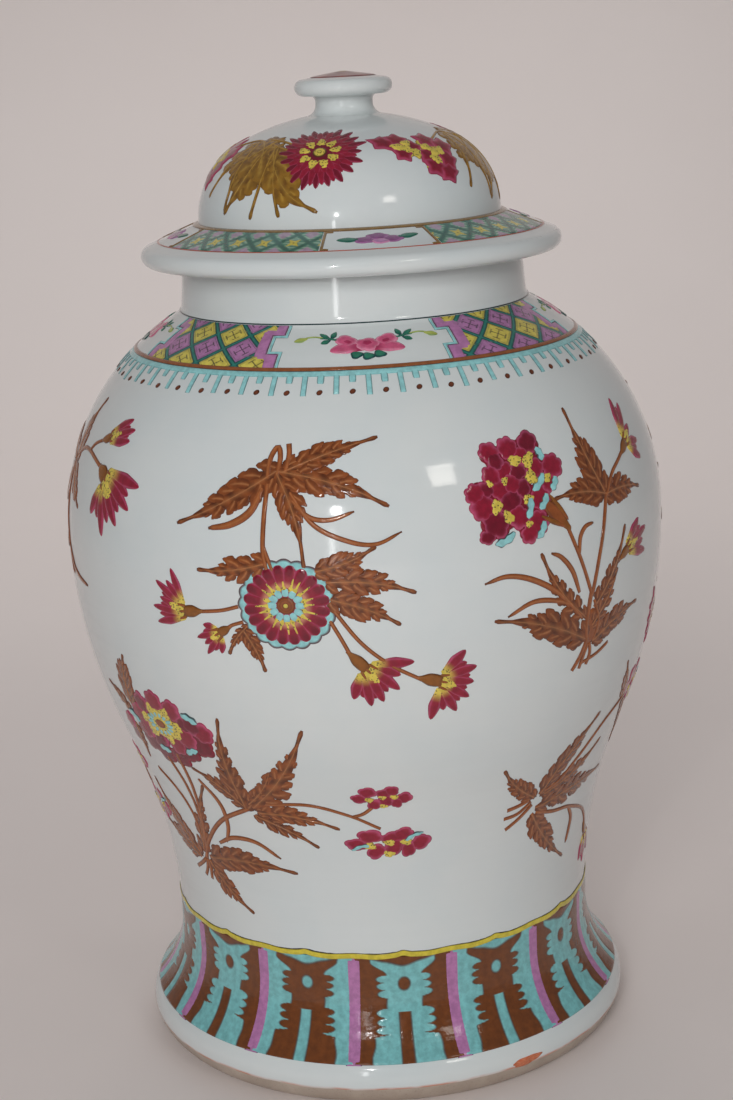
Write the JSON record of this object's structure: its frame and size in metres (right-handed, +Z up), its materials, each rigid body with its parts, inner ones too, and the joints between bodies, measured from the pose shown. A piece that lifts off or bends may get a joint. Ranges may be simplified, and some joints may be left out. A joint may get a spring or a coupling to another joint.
{
  "type": "ginger jar",
  "caption": "Tall baluster storage jar of glazed porcelain on a spreading foot, with a short neck and a domed lid that has a flat button knob and lifts off.",
  "frame": {"origin": "centre of the foot ring's resting plane, at the bottom of the jar", "axes": "+Z up along the axis of the jar and lid; +X to the right and +Y away from a viewer who faces the front, so the front is towards -Y"},
  "size_m": [0.314, 0.314, 0.51],
  "materials": {
    "glazed_porcelain": "glossy transparent glaze over white porcelain, faintly blue-green",
    "bare_porcelain": "unglazed fired porcelain, matt"
  },
  "bodies": {
    "jar": {"foot": "glazed_porcelain", "lower_body": "glazed_porcelain", "upper_body": "glazed_porcelain", "neck": "glazed_porcelain"},
    "lid": {"lid_collar": "bare_porcelain", "lid_brim": "glazed_porcelain", "lid_dome": "glazed_porcelain", "lid_knob": "glazed_porcelain"}
  },
  "joints": [
    {"name": "lid_lift", "type": "slide", "parent": "jar", "child": "lid", "axis": [0, 0, 1], "range_m": [0, 0.12]}
  ]
}
